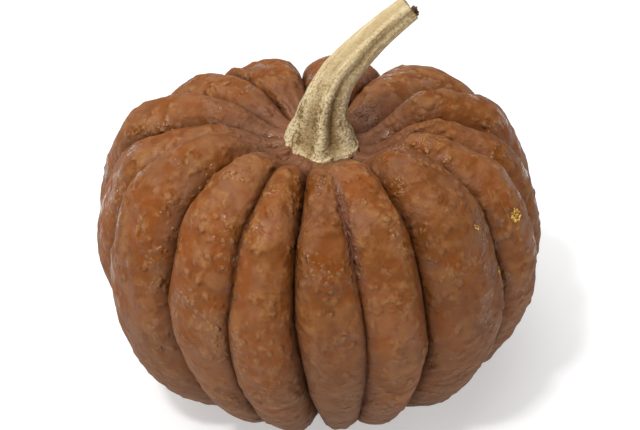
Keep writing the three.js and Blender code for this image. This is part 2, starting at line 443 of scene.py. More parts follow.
# %% From the crown line to places in space
def lobe_place(tree, value, fact, azimuth, sunk):
    """Each point's place on the smooth lobes."""
    line = add(tree, "GeometryNodeObjectInfo", {"Object": value["Crown Line"]})
    inputs = {"Curves": line.outputs["Geometry"], "Factor": fact["along"]}
    sample = add(tree, "GeometryNodeSampleCurve", inputs, use_all_curves=True)
    inputs = {0: sample.outputs["Tangent"], 1: (0, 1, 0)}
    outward = add(tree, "ShaderNodeVectorMath", inputs, operation="CROSS_PRODUCT")
    inward = add(tree, "ShaderNodeVectorMath", {0: outward, "Scale": sunk}, operation="SCALE")
    girth = add(tree, "ShaderNodeCombineXYZ", {"X": fact["girth"], "Y": 1.0, "Z": 1.0})
    inputs = {0: sample.outputs["Position"], 1: girth}
    place = add(tree, "ShaderNodeVectorMath", inputs, operation="MULTIPLY")
    place = add(tree, "ShaderNodeVectorMath", {0: place, 1: inward}, operation="SUBTRACT")

    # Crests rise between the seat and the waist
    inputs = {"Value": fact["along"], "From Min": 0.06, "From Max": 0.18}
    from_seat = add(tree, "ShaderNodeMapRange", inputs)
    inputs = {"Value": fact["along"], "From Min": 0.5, "From Max": 0.25}
    to_waist = add(tree, "ShaderNodeMapRange", inputs)
    on_top = add(tree, "ShaderNodeMath", {0: from_seat, 1: to_waist}, operation="MULTIPLY")
    lift = add(tree, "ShaderNodeMath", {0: on_top, 1: fact["rise"]}, operation="MULTIPLY")
    lift = add(tree, "ShaderNodeCombineXYZ", {"Z": lift})
    place = add(tree, "ShaderNodeVectorMath", {0: place, 1: lift}, operation="ADD")
    turn = add(tree, "ShaderNodeMath", {0: azimuth, 1: math.pi / 2}, operation="SUBTRACT")
    place = add(tree, "ShaderNodeVectorRotate", {"Vector": place, "Angle": turn}, rotation_type="Z_AXIS")

    # The seat's slope, which fades out a little way from the stem
    slope = add(tree, "ShaderNodeVectorMath", {0: place, 1: value["Seat Slope"]}, operation="DOT_PRODUCT")
    inputs = {"Value": fact["along"], "From Min": 0.2, "From Max": 0.08}
    seated = add(tree, "ShaderNodeMapRange", inputs, interpolation_type="SMOOTHSTEP")
    slope = add(tree, "ShaderNodeMath", {0: slope, 1: seated}, operation="MULTIPLY")
    slope = add(tree, "ShaderNodeCombineXYZ", {"Z": slope})
    place = add(tree, "ShaderNodeVectorMath", {0: place, 1: slope}, operation="ADD")
    return add(tree, "ShaderNodeVectorMath", {0: place, 1: tuple(axis)}, operation="ADD")


# %% [markdown]
# ## Lumps and warts
# The skin isn't smooth anywhere. Three sizes of swelling go on top, each a noise whose cells are as wide as
# the real ones: slow swells, lumps about as wide as a fingertip, and small warts that sit in clusters. Near
# the stem, radial wrinkles take over. They are a noise on azimuth and distance along the crown line, so its
# cells come out as spokes.

# %% Swells, lumps, warts and wrinkles
SPOKE_SCALE = 7.0


def swollen(tree, value, fact, position):
    """How high the swells, lumps and warts stand in metres, and the pattern of the warts alone."""
    heights = {}
    for kind, detail in (("Swell", 1.0), ("Lump", 1.5)):
        scale = add(tree, "ShaderNodeMath", {0: 1.0, 1: value[kind + " Width"]}, operation="DIVIDE")
        inputs = {"Vector": position, "Scale": scale, "Detail": detail, "Roughness": 0.45}
        noise = add(tree, "ShaderNodeTexNoise", inputs)
        heights[kind] = add(tree, "ShaderNodeMath", {0: noise, 1: 0.5}, operation="SUBTRACT")
    more = add(tree, "ShaderNodeMath", {0: fact["lumpy"], 1: 1.0}, operation="ADD")
    heights["Lump"] = add(tree, "ShaderNodeMath", {0: heights["Lump"], 1: more}, operation="MULTIPLY")
    scale = add(tree, "ShaderNodeMath", {0: 1.0, 1: value["Wart Width"]}, operation="DIVIDE")
    inputs = {"Vector": position, "Scale": scale, "Smoothness": 0.5}
    cells = add(tree, "ShaderNodeTexVoronoi", inputs, feature="SMOOTH_F1")
    inputs = {"Value": cells, "From Min": 0.55, "From Max": 0.05}
    wart = add(tree, "ShaderNodeMapRange", inputs, interpolation_type="SMOOTHSTEP")
    grouped = add(tree, "ShaderNodeTexNoise", {"Vector": position, "Scale": every(17), "Detail": 1.0})
    inputs = {"Value": grouped, "From Min": 0.38, "From Max": 0.56}
    grouped = add(tree, "ShaderNodeMapRange", inputs, interpolation_type="SMOOTHSTEP")
    heights["Wart"] = add(tree, "ShaderNodeMath", {0: wart, 1: grouped}, operation="MULTIPLY")
    total = 0.0
    for kind, height in heights.items():
        inputs = {0: height, 1: value[kind + " Height"], 2: total}
        total = add(tree, "ShaderNodeMath", inputs, operation="MULTIPLY_ADD")
    return total, heights["Wart"]


def spokes(tree, fact, azimuth):
    """Streaks that run out from the stem, and how near the stem each point is, from 0 to 1."""
    twice = add(tree, "ShaderNodeMath", {0: azimuth, 1: 2.0}, operation="MULTIPLY")
    round_stem = add(tree, "ShaderNodeCombineXYZ", {"X": twice, "Y": fact["along"]})
    inputs = {"Vector": round_stem, "Scale": SPOKE_SCALE, "Detail": 3.0}
    streak = add(tree, "ShaderNodeTexNoise", inputs, noise_dimensions="2D")
    streak = add(tree, "ShaderNodeMath", {0: streak, 1: 0.5}, operation="SUBTRACT")
    inputs = {"Value": fact["along"], "From Min": 0.2, "From Max": 0.08}
    near_stem = add(tree, "ShaderNodeMapRange", inputs, interpolation_type="SMOOTHSTEP")
    return streak, near_stem


def furrow_share(tree, fact, drop):
    """How deep in a furrow each point is, from 0 to 1. It stays low where the furrow has hardly formed."""
    share = add(tree, "ShaderNodeMath", {0: drop, 1: drop}, operation="MULTIPLY")
    formed = add(tree, "ShaderNodeMapRange", {"Value": fact["depth"], "From Max": 5 * MM})
    return add(tree, "ShaderNodeMath", {0: share, 1: formed}, operation="MULTIPLY")


# %% [markdown]
# ## The whole skin
# The tree puts each point in its place, and then pushes it out along the skin's normal by the height of the
# bumps there. Bumps are flatter in the furrows. The skin rises in a low collar against the stem's foot, and
# where it would go below the floor it is flat, as the real one is where it lay. The height of the lumps and
# a few other facts are stored on the mesh, because a ripe squash is paler on its lumps than between them,
# and the material needs to know.

# %% The fruit's tree
def fruit_tree(material):
    """The tree that turns the fruit's net into its skin."""
    tree, given = new_tree("Squash skin", {**fruit_inputs, "Material": material})
    value = given.outputs
    fact = {
        key: add(tree, "GeometryNodeInputNamedAttribute", {"Name": key})
        for key in ("along", "side", "middle", "half", "depth", "girth", "rise", "lumpy", "trough")
    }
    azimuth, drop, sunk = across_lobe(tree, value, fact)
    place = lobe_place(tree, value, fact, azimuth, sunk)
    skin = add(tree, "GeometryNodeSetPosition", {"Geometry": value["Geometry"], "Position": place})

    # How far each point stands out: lumps away from the stem and the furrows, and wrinkles near the stem
    position = add(tree, "GeometryNodeInputPosition")
    lumps, warts = swollen(tree, value, fact, position)
    streak, near_stem = spokes(tree, fact, azimuth)
    furrow = furrow_share(tree, fact, drop)
    away = add(tree, "ShaderNodeMath", {0: 1.0, 1: near_stem}, operation="SUBTRACT")
    flat = add(tree, "ShaderNodeMapRange", {"Value": furrow, "To Min": 1.0, "To Max": 0.25})
    flat = add(tree, "ShaderNodeMath", {0: flat, 1: away}, operation="MULTIPLY")
    lumps = add(tree, "ShaderNodeMath", {0: lumps, 1: flat}, operation="MULTIPLY")
    wrinkle = add(tree, "ShaderNodeMath", {0: streak, 1: near_stem}, operation="MULTIPLY")
    inputs = {0: wrinkle, 1: value["Wrinkle Height"], 2: lumps}
    total = add(tree, "ShaderNodeMath", inputs, operation="MULTIPLY_ADD")

    # The collar against the stem's foot
    from_foot = add(tree, "ShaderNodeVectorMath", {0: position, 1: value["Foot"]}, operation="DISTANCE")
    from_foot = add(tree, "ShaderNodeMath", {0: from_foot, 1: value["Foot Radius"]}, operation="SUBTRACT")
    inputs = {"Value": from_foot, "From Max": 5 * MM, "To Min": value["Collar Height"], "To Max": 0.0}
    collar = add(tree, "ShaderNodeMapRange", inputs, interpolation_type="SMOOTHSTEP")
    total = add(tree, "ShaderNodeMath", {0: total, 1: collar}, operation="ADD")

    for key, field in (
        ("lump", lumps),
        ("wart", warts),
        ("streak", streak),
        ("furrow", furrow),
        ("from_foot", from_foot),
    ):
        inputs = {"Geometry": skin, "Name": key, "Value": field}
        skin = add(tree, "GeometryNodeStoreNamedAttribute", inputs)
    normal = add(tree, "GeometryNodeInputNormal")
    offset = add(tree, "ShaderNodeVectorMath", {0: normal, "Scale": total}, operation="SCALE")
    skin = add(tree, "GeometryNodeSetPosition", {"Geometry": skin, "Offset": offset})

    # Nothing goes below the floor, which has flattened the undersides of the lobes
    above = add(tree, "ShaderNodeVectorMath", {0: position, 1: (-1, -1, 0)}, operation="MAXIMUM")
    skin = add(tree, "GeometryNodeSetPosition", {"Geometry": skin, "Position": above})
    skin = add(tree, "GeometryNodeSetShadeSmooth", {"Geometry": skin, "Shade Smooth": True})
    finish_tree(tree, skin, value["Material"])
    return tree


# %% [markdown]
# ## Squash skin
# The rind of a ripe squash is thin, hard and waxy, a little like oiled leather. Its colour is laid down in
# layers: an orange-brown ground under a duller film of wax, paler corky blotches on the lumps, warts, domes
# and beads, a grey-mauve bloom that dulls the lower half, and a darker, purplish collar round the stem.
# Some of it is painted shade: the furrows, the low spots of the grain and the crease round the stem's foot
# are coloured darker. Wax is worn to satin nearly everywhere. It stays glossy on clustered beads and where
# it gathered by a furrow, and the bloom takes the gloss away low down. Wax has an IOR of about 1.45, but a
# worn and dusty film of it reflects less, so the value used is lower. A trace of sheen is the bloom's
# scatter at grazing angles.

# %% Helpers for patterns and layers
def new_material(name):
    """A new material, its node tree and its shader."""
    material = bpy.data.materials.new(name)
    material.use_nodes = True
    tree = material.node_tree
    return material, tree, tree.nodes["Principled BSDF"]


def patches(tree, place, width, low, high, most=1.0, detail=3.0):
    """A mask of soft patches about as wide as given in mm: 0 below low, and most above high."""
    noise = add(tree, "ShaderNodeTexNoise", {"Vector": place, "Scale": every(width), "Detail": detail})
    inputs = {"Value": noise, "From Min": low, "From Max": high, "To Max": most}
    return add(tree, "ShaderNodeMapRange", inputs, interpolation_type="SMOOTHSTEP")


def domed(tree, place, width):
    """Round bumps about as far apart as given in mm, from 0 between them to 1 at their tops."""
    stir = add(tree, "ShaderNodeTexNoise", {"Vector": place, "Scale": every(1.2 * width), "Detail": 2.0})
    inputs = {0: stir.outputs["Color"], "Scale": 0.8 * width * MM}
    stir = add(tree, "ShaderNodeVectorMath", inputs, operation="SCALE")
    place = add(tree, "ShaderNodeVectorMath", {0: place, 1: stir}, operation="ADD")
    inputs = {"Vector": place, "Scale": every(width), "Smoothness": 0.3}
    cells = add(tree, "ShaderNodeTexVoronoi", inputs, feature="SMOOTH_F1")
    inputs = {"Value": cells, "From Min": 0.5, "From Max": 0.12}
    return add(tree, "ShaderNodeMapRange", inputs, interpolation_type="SMOOTHSTEP")


def layered(tree, colour, layers):
    """Lays colours over one another. Each layer is how much of it shows, and its colour."""
    for share, code in layers:
        inputs = {"Factor": share, 6: colour, 7: linear(code)}
        colour = add(tree, "ShaderNodeMix", inputs, data_type="RGBA").outputs[2]
    return colour


# %% [markdown]
# ## Patches and bumps on the skin
# Hardly anything on a ripe skin is even, so nearly every layer is cut up by soft patches of its own. The
# bumps here are too fine for the mesh: a leathery grain, round domes, and small beads that only grow in
# clusters.

# %% The skin's patterns
# Soft patches: width in mm, the noise values between which they come in, then most, and the noise's detail
SKIN_PATCHES = {
    "bumpy": (18, 0.35, 0.55),
    "with_domes": (13, 0.42, 0.54),
    "clusters": (15, 0.54, 0.6),
    "orange": (20, 0.4, 0.64, 0.8, 4.0),
    "film": (12, 0.44, 0.6, 0.55, 5.0),
    "mottle": (6, 0.47, 0.54, 1.0, 8.0),
    "crisp": (3, 0.4, 0.55, 0.7, 5.0),
    "bloom": (26, 0.25, 0.5, 0.95, 5.0),
    "satin": (10, 0.35, 0.65),
    "gathered": (9, 0.52, 0.58),
}


def skin_patterns(tree, place, patch, fact):
    """The leathery grain, the domes and the beads, and where the beads' clusters are."""
    inputs = {"Vector": place, "Scale": every(6), "Detail": 5.0, "Roughness": 0.6}
    leather = add(tree, "ShaderNodeTexNoise", inputs)
    domes = domed(tree, place, 5.0)
    domes = add(tree, "ShaderNodeMath", {0: domes, 1: patch["with_domes"]}, operation="MULTIPLY")
    clusters = add(tree, "ShaderNodeMath", {0: patch["clusters"], 1: fact["trough"]}, operation="MAXIMUM")
    clusters = add(tree, "ShaderNodeMath", {0: clusters, 1: fact["glint"]}, operation="MAXIMUM")
    beads = add(tree, "ShaderNodeMath", {0: domed(tree, place, 2.6), 1: clusters}, operation="MULTIPLY")
    return leather, domes, beads, clusters


widths = [row[0] for row in SKIN_PATCHES.values()]
print("the skin has", len(widths), "kinds of patches, from", min(widths), "to", max(widths), "mm wide")

# %% [markdown]
# ## The skin's colour
# Each layer has a share that says where it shows, and covers some of what lies under it. Patches of orange
# and of wax go on first, then the grain with painted shade in its low spots, the lumps, the smaller bumps
# and the dusky lobes, and last the bloom, the collar round the stem, the painted shade of the furrows and of
# the crease at the stem's foot, and the blossom's scar.

# %% The layers of colour
def skin_colour(tree, fact, patch, leather, domes, beads, low):
    """The rind's colour, from the ground up."""
    inputs = {"Value": leather, "From Min": 0.5, "From Max": 0.62, "To Max": 0.6}
    tops = add(tree, "ShaderNodeMapRange", inputs)
    tops = add(tree, "ShaderNodeMath", {0: tops, 1: patch["bumpy"]}, operation="MULTIPLY")
    # Painted shade: the grain's low spots are coloured darker
    inputs = {"Value": leather, "From Min": 0.45, "From Max": 0.38, "To Max": 0.35}
    painted_hollow_shade = add(tree, "ShaderNodeMapRange", inputs)
    painted_hollow_shade = add(tree, "ShaderNodeMath", {0: painted_hollow_shade, 1: patch["bumpy"]}, operation="MULTIPLY")
    inputs = {"Value": fact["lump"], "From Min": -0.3 * MM, "From Max": 1.1 * MM, "To Max": 0.8}
    on_lumps = add(tree, "ShaderNodeMapRange", inputs)
    on_lumps = add(tree, "ShaderNodeMath", {0: on_lumps, 1: patch["mottle"]}, operation="MULTIPLY")
    on_warts = add(tree, "ShaderNodeMath", {0: fact["wart"], 1: patch["crisp"]}, operation="MULTIPLY")
    inputs = {"Value": domes, "From Min": 0.1, "From Max": 0.7, "To Max": 0.9}
    on_domes = add(tree, "ShaderNodeMapRange", inputs)
    on_domes = add(tree, "ShaderNodeMath", {0: on_domes, 1: patch["crisp"]}, operation="MULTIPLY")
    on_beads = add(tree, "ShaderNodeMath", {0: beads, 1: 0.5}, operation="MULTIPLY")
    bloom = add(tree, "ShaderNodeMath", {0: low, 1: patch["bloom"]}, operation="MULTIPLY")
    inputs = {"Value": fact["along"], "From Min": 0.19, "From Max": 0.1, "To Max": 0.7}
    collar = add(tree, "ShaderNodeMapRange", inputs)
    inputs = {"Value": fact["streak"], "From Min": -0.05, "From Max": 0.15}
    streaks = add(tree, "ShaderNodeMapRange", inputs)
    streaks = add(tree, "ShaderNodeMath", {0: streaks, 1: collar}, operation="MULTIPLY")
    # Painted shade: the deeper a point lies in a furrow, the darker its colour
    inputs = {"Value": fact["furrow"], "From Min": 0.03, "From Max": 0.65, "To Max": 0.85}
    painted_furrow_shade = add(tree, "ShaderNodeMapRange", inputs)
    in_trough = add(tree, "ShaderNodeMath", {0: fact["trough"], 1: 0.9}, operation="MULTIPLY")
    # Painted shade: the skin inside the stem's foot ring is coloured dark, as in the shadow of the crease
    inputs = {"Value": fact["from_foot"], "From Min": -0.5 * MM, "From Max": -2.5 * MM, "To Max": 0.8}
    painted_foot_shade = add(tree, "ShaderNodeMapRange", inputs)
    scar = add(tree, "ShaderNodeMapRange", {"Value": fact["along"], "From Min": 0.955, "From Max": 0.97})
    layers = [
        (patch["orange"], "89460E"),
        (patch["film"], "8A5C3E"),
        (painted_hollow_shade, "68360C"),
        (tops, "905D2C"),
        (on_lumps, "925B2A"),
        (on_warts, "A37142"),
        (on_domes, "9F6D40"),
        (on_beads, "AC7F4A"),
        (fact["dusky"], "5C300C"),
        (bloom, "6F503B"),
        (collar, "6E4832"),
        (streaks, "855A40"),
        (painted_furrow_shade, "50290C"),
        (in_trough, "744A36"),
        (painted_foot_shade, "46351C"),
        (scar, "7C6242"),
    ]
    ground = add(tree, "ShaderNodeRGB")
    ground.outputs[0].default_value = linear("7B4413")
    return layered(tree, ground.outputs[0], layers)


# %% [markdown]
# ## The skin's relief and gloss
# Each bump map takes the one before it as its normal, so they add up. Low down there are wrinkles that run
# round the fruit, made by squeezing a noise upright. Wax lies unevenly, so the roughness changes over the
# skin: satin nearly everywhere, glossy on the beads and where wax gathered by a furrow, and dull under the
# bloom.

# %% Bumps and roughness
def skin_relief(tree, place, patch, leather, domes, beads, low):
    """The normal that the grain, the domes, the beads and the low wrinkles give."""
    leather = add(tree, "ShaderNodeMath", {0: leather, 1: patch["bumpy"]}, operation="MULTIPLY")
    bump = add(tree, "ShaderNodeBump", {"Height": leather, "Distance": 1.7 * MM, "Strength": 1.0})
    inputs = {"Height": domes, "Distance": 0.8 * MM, "Strength": 1.0, "Normal": bump}
    bump = add(tree, "ShaderNodeBump", inputs)
    inputs = {"Height": beads, "Distance": 0.45 * MM, "Strength": 1.0, "Normal": bump}
    bump = add(tree, "ShaderNodeBump", inputs)
    squeezed = add(tree, "ShaderNodeMapping", {"Vector": place, "Scale": (1.0, 1.0, 4.0)})
    wrinkles = add(tree, "ShaderNodeTexNoise", {"Vector": squeezed, "Scale": every(8), "Detail": 4.0})
    wrinkles = add(tree, "ShaderNodeMath", {0: wrinkles, 1: low}, operation="MULTIPLY")
    inputs = {"Height": wrinkles, "Distance": 1.1 * MM, "Strength": 0.8, "Normal": bump}
    return add(tree, "ShaderNodeBump", inputs)


def skin_gloss(tree, fact, patch, clusters, low):
    """The roughness, from 0.15 on clean wax to 0.85 under the bloom."""
    satin = add(tree, "ShaderNodeMapRange", {"Value": patch["satin"], "To Min": 0.52, "To Max": 0.72})
    satin = add(tree, "ShaderNodeMix", {"Factor": low, "A": satin, "B": 0.85})
    inputs = {"Value": fact["furrow"], "From Min": 0.12, "From Max": 0.45}
    beside = add(tree, "ShaderNodeMapRange", inputs)
    wax = add(tree, "ShaderNodeMath", {0: beside, 1: patch["gathered"]}, operation="MULTIPLY")
    wax = add(tree, "ShaderNodeMath", {0: wax, 1: clusters}, operation="MAXIMUM")
    inputs = {"Value": fact["along"], "From Min": 0.55, "From Max": 0.4}
    clean = add(tree, "ShaderNodeMapRange", inputs)
    wax = add(tree, "ShaderNodeMath", {0: wax, 1: clean}, operation="MULTIPLY")
    return add(tree, "ShaderNodeMix", {"Factor": wax, "A": satin, "B": 0.15})


# %% [markdown]
# ## The rind put together
# The material reads the facts that the tree stored on the mesh, makes the patches, and hands both to the
# functions above. What is the same all over the skin is set on the shader itself.

# %% The skin's material
# A waxy rind: to the eye it is matt and mottled from afar, with small wet points of light close to
RIND_IOR = 1.33


def skin_material():
    """The rind: its layers of colour, its relief and its uneven gloss."""
    material, tree, shader = new_material("waxy_squash_rind")
    place = add(tree, "ShaderNodeTexCoord").outputs["Object"]
    fact = {
        key: add(tree, "ShaderNodeAttribute", attribute_name=key).outputs["Fac"]
        for key in ("along", "lump", "wart", "streak", "furrow", "from_foot", "dusky", "trough", "glint")
    }
    patch = {key: patches(tree, place, *row) for key, row in SKIN_PATCHES.items()}
    leather, domes, beads, clusters = skin_patterns(tree, place, patch, fact)
    # How far below the waist each point is, from 0 to 1
    low = add(tree, "ShaderNodeMapRange", {"Value": fact["along"], "From Min": 0.42, "From Max": 0.72})
    colour = skin_colour(tree, fact, patch, leather, domes, beads, low)
    tree.links.new(colour, shader.inputs["Base Color"])
    relief = skin_relief(tree, place, patch, leather, domes, beads, low)
    tree.links.new(relief.outputs[0], shader.inputs["Normal"])
    gloss = skin_gloss(tree, fact, patch, clusters, low)
    tree.links.new(gloss.outputs[0], shader.inputs["Roughness"])
    shader.inputs["IOR"].default_value = RIND_IOR
    shader.inputs["Sheen Weight"].default_value = 0.015
    shader.inputs["Sheen Roughness"].default_value = 0.4
    shader.inputs["Sheen Tint"].default_value = linear("E0CDBE")
    return material


skin = skin_material()
print("skin material", skin.name, "with", len(skin.node_tree.nodes), "nodes")

# %% [markdown]
# ## The fruit
# Now the tree can run on the fruit's net. The crown line has done its work then, so it is deleted.

# %% The fruit
fruit = run_tree("fruit_skin", net, fruit_tree(skin), {**fruit_inputs, "Material": skin})
bpy.data.objects.remove(crown)

# %% [markdown]
# ## The stem
# A squash stem is a stiff, five-angled stalk that turns to cork as the fruit ripens. It is swept along its
# line like the construction's, with nearly the same radii. Five blunt ridges run up it, unevenly spaced, so
# the valleys between them are given by their azimuths, and the ridges are strongest just above the foot,
# where they spread into buttresses. One valley is cut deeper than the rest along the whole length.

# %% The stem's line and net
# The line's points are in mm from the seat, and the radii and ridges go by the share of the way up. The
# valleys are azimuths in degrees, and the last is the first again, a whole turn on.
STEM_LINE = [
    (2.6, 0.5, -3.5),
    (2.6, 0.5, 0),
    (3.0, 0.2, 6),
    (4.2, 1, 14),
    (6.9, 2.7, 21),
    (12.3, 5.7, 29),
    (24.6, 10.6, 40),
    (41, 17, 50.5),
]
STEM_RADII = [
    (0, 15.6),
    (0.04, 15.2),
    (0.1, 12.6),
    (0.18, 10.2),
    (0.3, 8.7),
    (0.42, 7.7),
    (0.6, 6.7),
    (0.8, 6),
    (1, 5.3),
]
RIDGES = [(0, 0.5), (0.05, 0.8), (0.1, 1.8), (0.2, 1.6), (0.4, 0.8), (1, 0.7)]
VALLEYS = [-118, -66, 14, 58, 88, 242]
STEM_COLUMNS, STEM_ROWS = 220, 260
DEEP_VALLEY = 1
foot_middle = np.array([axis.x, axis.y, seat])
stem_line = curve_object("stem_line", smooth_line(np.array(STEM_LINE) * MM) + foot_middle)
rise = np.linspace(1, 0, STEM_ROWS)[:, None] * np.ones(STEM_COLUMNS)
turn = np.ones((STEM_ROWS, 1)) * np.linspace(0, 2 * math.pi, STEM_COLUMNS, endpoint=False)
radius = np.interp(rise, *zip(*STEM_RADII)) * MM
radius[[0, -1]] = 0  # both ends of the net draw in to a point
ridges = np.interp(rise, *zip(*RIDGES))
from_valley = (np.degrees(turn) - VALLEYS[0]) % 360 + VALLEYS[0]
phase = np.interp(from_valley, VALLEYS, 2 * math.pi * np.arange(len(VALLEYS)))
stem_facts = {"rise": rise, "turn": turn, "phase": phase, "radius": radius, "ridges": ridges}
stem_net = make_net("stem_net", STEM_COLUMNS, STEM_ROWS, stem_facts)
print("stem net of", len(stem_net.data.vertices), "points")

# %% [markdown]
# ## Ridges round a bent line
# Round the stem, a cosine that has one wave for each ridge thins the radius in the valleys, and a sharp peak
# of another cosine cuts the deep one. At every point of the line, two directions square to it say where
# right and back are, and a ring is drawn with them.

# %% The stem's sizes, ridges and rings
GROOVE_SHARPNESS, SIDE_SHARPNESS = 50.0, 5.0
stem_inputs = {
    "Stem Line": stem_line,
    "Furrow Turn": math.radians(VALLEYS[DEEP_VALLEY]),
    "Ridge Height": 0.07,
    "Groove Depth": 0.08,
    "Grain Height": 0.7 * MM,
    "Fibre Height": 0.5 * MM,
}


def stem_ridges(tree, value, fact):
    """How much the ridges and the groove thin the stem, and how near the groove each point is, 0 to 1."""
    ridge = add(tree, "ShaderNodeMath", {0: fact["phase"]}, operation="COSINE")
    ridge = add(tree, "ShaderNodeMath", {0: ridge, 1: fact["ridges"]}, operation="MULTIPLY")
    ridge = add(tree, "ShaderNodeMath", {0: ridge, 1: value["Ridge Height"]}, operation="MULTIPLY")
    inputs = {0: fact["turn"], 1: value["Furrow Turn"]}
    from_furrow = add(tree, "ShaderNodeMath", inputs, operation="SUBTRACT")
    across = add(tree, "ShaderNodeMath", {0: from_furrow}, operation="COSINE")
    near = add(tree, "ShaderNodeMath", {0: across, 1: 0.5, 2: 0.5}, operation="MULTIPLY_ADD")
    groove = add(tree, "ShaderNodeMath", {0: near, 1: GROOVE_SHARPNESS}, operation="POWER")
    groove = add(tree, "ShaderNodeMath", {0: groove, 1: fact["ridges"]}, operation="MULTIPLY")
    groove = add(tree, "ShaderNodeMath", {0: groove, 1: value["Groove Depth"]}, operation="MULTIPLY")
    return ridge, groove, near


def ring_place(tree, value, fact, cosine, sine, radius):
    """Each point's place on its ring round the stem's line."""
    line = add(tree, "GeometryNodeObjectInfo", {"Object": value["Stem Line"]})
    inputs = {"Curves": line.outputs["Geometry"], "Factor": fact["rise"]}
    sample = add(tree, "GeometryNodeSampleCurve", inputs, use_all_curves=True)
    ahead = sample.outputs["Tangent"]
    back = add(tree, "ShaderNodeVectorMath", {0: ahead, 1: (1, 0, 0)}, operation="CROSS_PRODUCT")
    back = add(tree, "ShaderNodeVectorMath", {0: back}, operation="NORMALIZE")
    right = add(tree, "ShaderNodeVectorMath", {0: back, 1: ahead}, operation="CROSS_PRODUCT")
    to_right = add(tree, "ShaderNodeVectorMath", {0: right, "Scale": cosine}, operation="SCALE")
    to_back = add(tree, "ShaderNodeVectorMath", {0: back, "Scale": sine}, operation="SCALE")
    outward = add(tree, "ShaderNodeVectorMath", {0: to_right, 1: to_back}, operation="ADD")
    outward = add(tree, "ShaderNodeVectorMath", {0: outward, "Scale": radius}, operation="SCALE")
    inputs = {0: outward, 1: sample.outputs["Position"]}
    return add(tree, "ShaderNodeVectorMath", inputs, operation="ADD")


print("the deep valley faces", VALLEYS[DEEP_VALLEY], "degrees, counted from the right towards the back")

# %% [markdown]
# ## Grain and fibres
# Cork grain covers the lower half and the side with the groove, and long fibres run all the way up. The
# fibres' noise is drawn in a space where the stem stands straight and is squeezed lengthwise, so that its
# cells come out long.

# %% The stem's tree
STRAIGHT_RADIUS, STRAIGHT_LENGTH = 8 * MM, 12 * MM


def stem_grain(tree, value, fact, cosine, sine, near):
    """The height of grain and fibres in metres, and the patterns that the material needs."""
    straight = add(tree, "ShaderNodeCombineXYZ", {"X": cosine, "Y": sine})
    inputs = {0: straight, "Scale": STRAIGHT_RADIUS}
    straight = add(tree, "ShaderNodeVectorMath", inputs, operation="SCALE")
    squeezed = add(tree, "ShaderNodeMath", {0: fact["rise"], 1: STRAIGHT_LENGTH}, operation="MULTIPLY")
    squeezed = add(tree, "ShaderNodeCombineXYZ", {"Z": squeezed})
    straight = add(tree, "ShaderNodeVectorMath", {0: straight, 1: squeezed}, operation="ADD")
    fibres = add(tree, "ShaderNodeTexNoise", {"Vector": straight, "Scale": every(2.2), "Detail": 3.0})
    fibres = add(tree, "ShaderNodeMath", {0: fibres, 1: 0.5}, operation="SUBTRACT")
    inputs = {"Value": fact["rise"], "From Min": 0.6, "From Max": 0.2, "To Min": 0.1}
    low = add(tree, "ShaderNodeMapRange", inputs, interpolation_type="SMOOTHSTEP")
    side = add(tree, "ShaderNodeMath", {0: near, 1: SIDE_SHARPNESS}, operation="POWER")
    side = add(tree, "ShaderNodeMath", {0: side, 1: 0.6}, operation="MULTIPLY")
    rough = add(tree, "ShaderNodeMath", {0: low, 1: side}, operation="MAXIMUM")
    position = add(tree, "GeometryNodeInputPosition")
    grain = add(tree, "ShaderNodeTexNoise", {"Vector": position, "Scale": every(1.5), "Detail": 3.0})
    grain = add(tree, "ShaderNodeMath", {0: grain, 1: 0.5}, operation="SUBTRACT")
    grain = add(tree, "ShaderNodeMath", {0: grain, 1: rough}, operation="MULTIPLY")
    grain = add(tree, "ShaderNodeMath", {0: grain, 1: value["Grain Height"]}, operation="MULTIPLY")
    inputs = {0: fibres, 1: value["Fibre Height"], 2: grain}
    height = add(tree, "ShaderNodeMath", inputs, operation="MULTIPLY_ADD")
    return height, {"rough": rough, "fibre": fibres, "side": side}


def stem_tree(material):
    """The tree that turns the stem's net into its cork."""
    tree, given = new_tree("Squash stem", {**stem_inputs, "Material": material})
    value = given.outputs
    fact = {
        key: add(tree, "GeometryNodeInputNamedAttribute", {"Name": key})
        for key in ("rise", "turn", "phase", "radius", "ridges")
    }
    ridge, groove, near = stem_ridges(tree, value, fact)
    shape = add(tree, "ShaderNodeMath", {0: ridge, 1: groove}, operation="ADD")
    shape = add(tree, "ShaderNodeMath", {0: 1.0, 1: shape}, operation="SUBTRACT")
    radius = add(tree, "ShaderNodeMath", {0: fact["radius"], 1: shape}, operation="MULTIPLY")
    cosine = add(tree, "ShaderNodeMath", {0: fact["turn"]}, operation="COSINE")
    sine = add(tree, "ShaderNodeMath", {0: fact["turn"]}, operation="SINE")
    place = ring_place(tree, value, fact, cosine, sine, radius)
    stem = add(tree, "GeometryNodeSetPosition", {"Geometry": value["Geometry"], "Position": place})
    height, patterns = stem_grain(tree, value, fact, cosine, sine, near)
    for key, field in {"groove": groove, "ridge": ridge, **patterns}.items():
        inputs = {"Geometry": stem, "Name": key, "Value": field}
        stem = add(tree, "GeometryNodeStoreNamedAttribute", inputs)
    normal = add(tree, "GeometryNodeInputNormal")
    offset = add(tree, "ShaderNodeVectorMath", {0: normal, "Scale": height}, operation="SCALE")
    stem = add(tree, "GeometryNodeSetPosition", {"Geometry": stem, "Offset": offset})
    stem = add(tree, "GeometryNodeSetShadeSmooth", {"Geometry": stem, "Shade Smooth": True})
    finish_tree(tree, stem, value["Material"])
    return tree


# %% [markdown]
# ## Stem cork
# A ripe stem is dry, dead tissue. Low down it has split along its fibres and broken up into granular cork,
# full of dark pits, and it gets smoother and paler towards the cut, with only a few specks. Cork is rough
# and scatters light evenly, so it has almost no gloss, and its look comes from dark pits and cracks beside
# pale grains.

